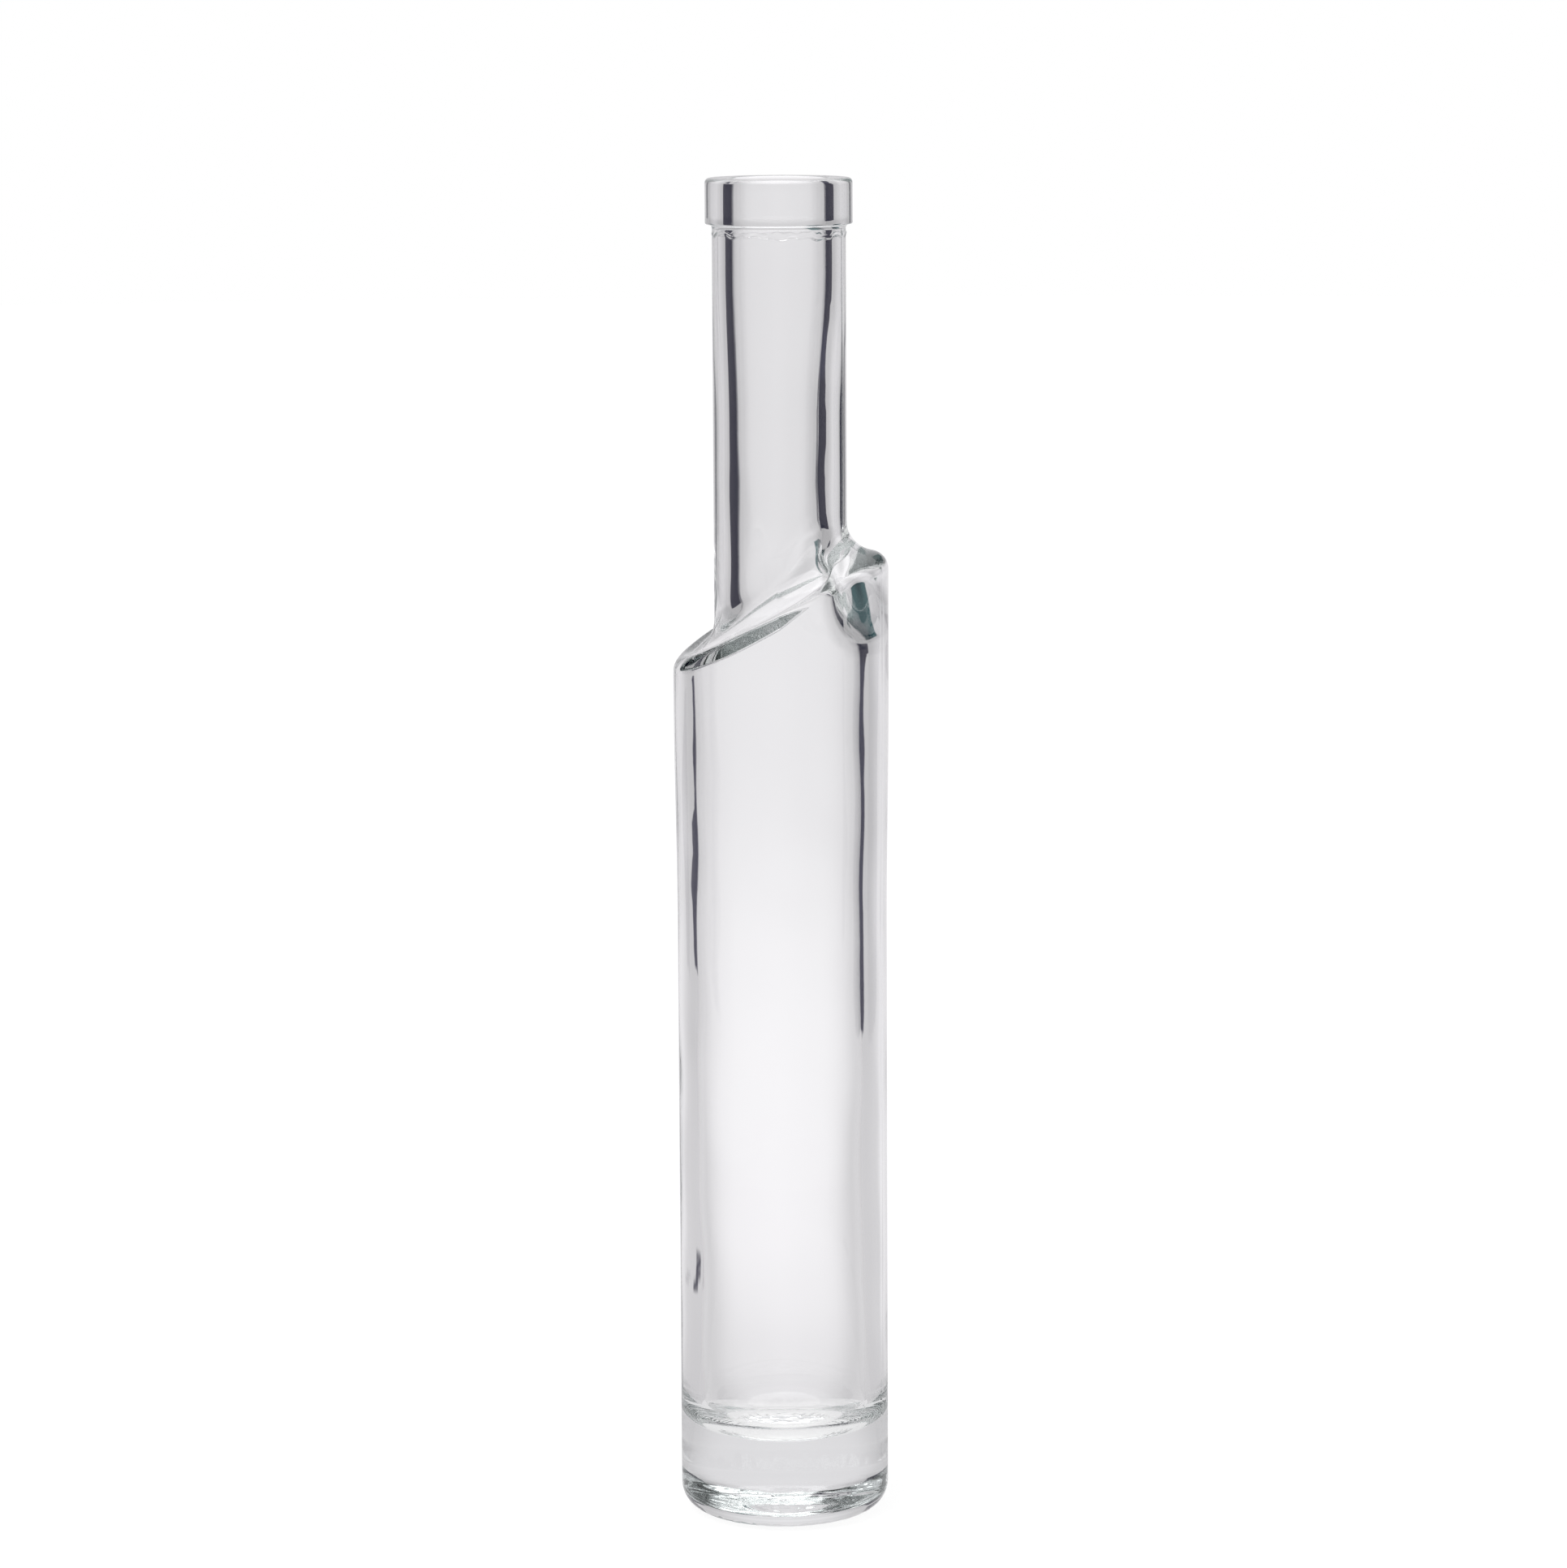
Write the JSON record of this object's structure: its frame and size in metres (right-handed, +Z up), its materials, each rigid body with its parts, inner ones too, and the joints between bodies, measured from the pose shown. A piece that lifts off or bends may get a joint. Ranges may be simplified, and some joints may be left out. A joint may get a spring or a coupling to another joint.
{
  "type": "glass bottle",
  "caption": "Tall round bottle of clear glass with a slanted shoulder, a straight neck, a banded open mouth for a push-in stopper and a heavy base.",
  "frame": {"origin": "centre of the base, on the surface that the bottle stands on", "axes": "+Z up along the shared axis of body and neck, +X towards the high side of the slanted shoulder, +Y to the left of it"},
  "size_m": [0.0428, 0.0428, 0.268],
  "materials": {
    "clear_glass": "clear flint glass, fire-polished gloss, faint grey-green where it is thick"
  },
  "bodies": {
    "root": {"glass_bottle": "clear_glass"}
  },
  "joints": []
}
